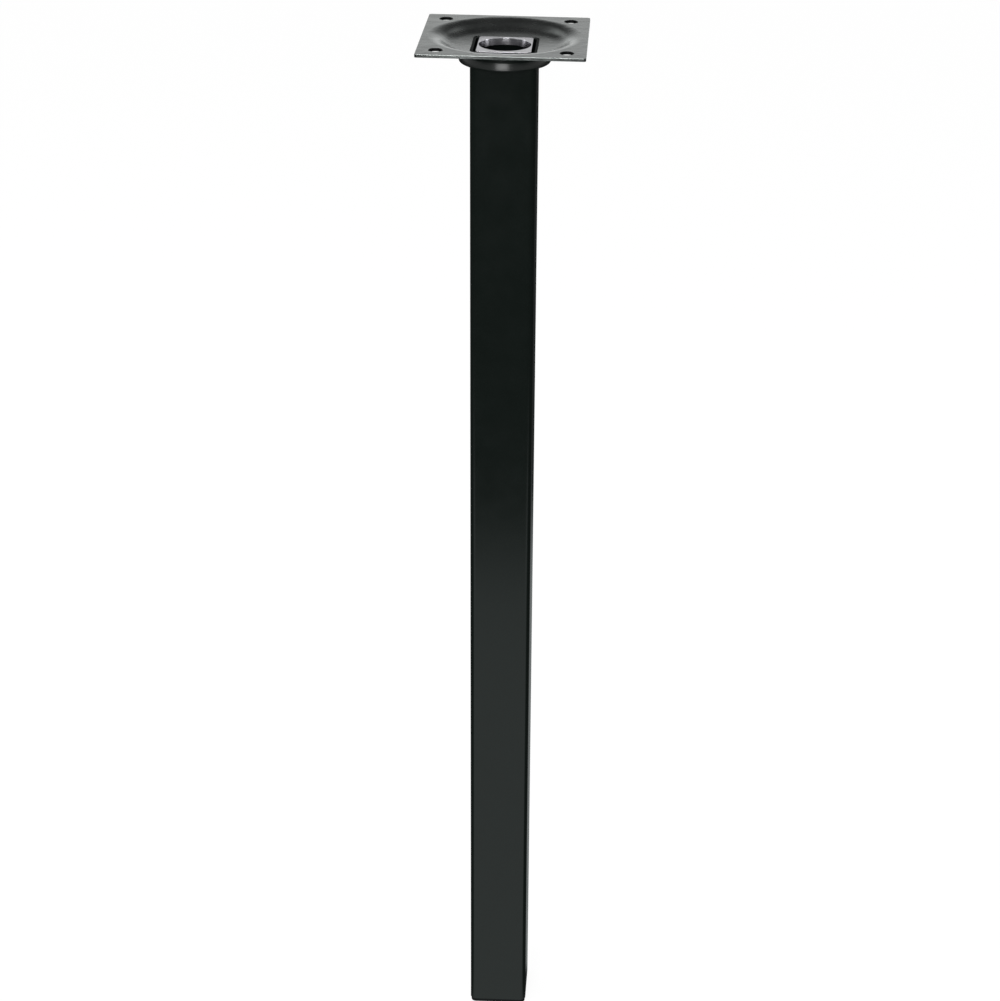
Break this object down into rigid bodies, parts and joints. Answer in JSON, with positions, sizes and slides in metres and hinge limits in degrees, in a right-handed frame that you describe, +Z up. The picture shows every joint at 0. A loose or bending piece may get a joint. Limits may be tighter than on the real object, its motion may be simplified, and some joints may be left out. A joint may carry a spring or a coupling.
{
  "type": "table leg",
  "caption": "Straight square-tube table leg with a dished square mounting plate at the top and a plastic foot plug.",
  "frame": {"origin": "middle of the underside of the foot plug, on the floor", "axes": "+Z up along the leg to the mounting plate; X and Y along the sides of the plate and the tube"},
  "size_m": [0.1, 0.1, 0.71],
  "materials": {
    "black_paint": "satin black paint",
    "zinc_plate": "bright zinc plating, slightly blotchy",
    "bare_steel": "bright bare steel",
    "black_plastic": "matte moulded plastic"
  },
  "bodies": {
    "root": {"leg_tube": "black_paint", "mounting_plate": "zinc_plate", "neck_collar": "black_paint", "mouth_plate": "bare_steel", "foot_plug": "black_plastic"}
  },
  "joints": []
}
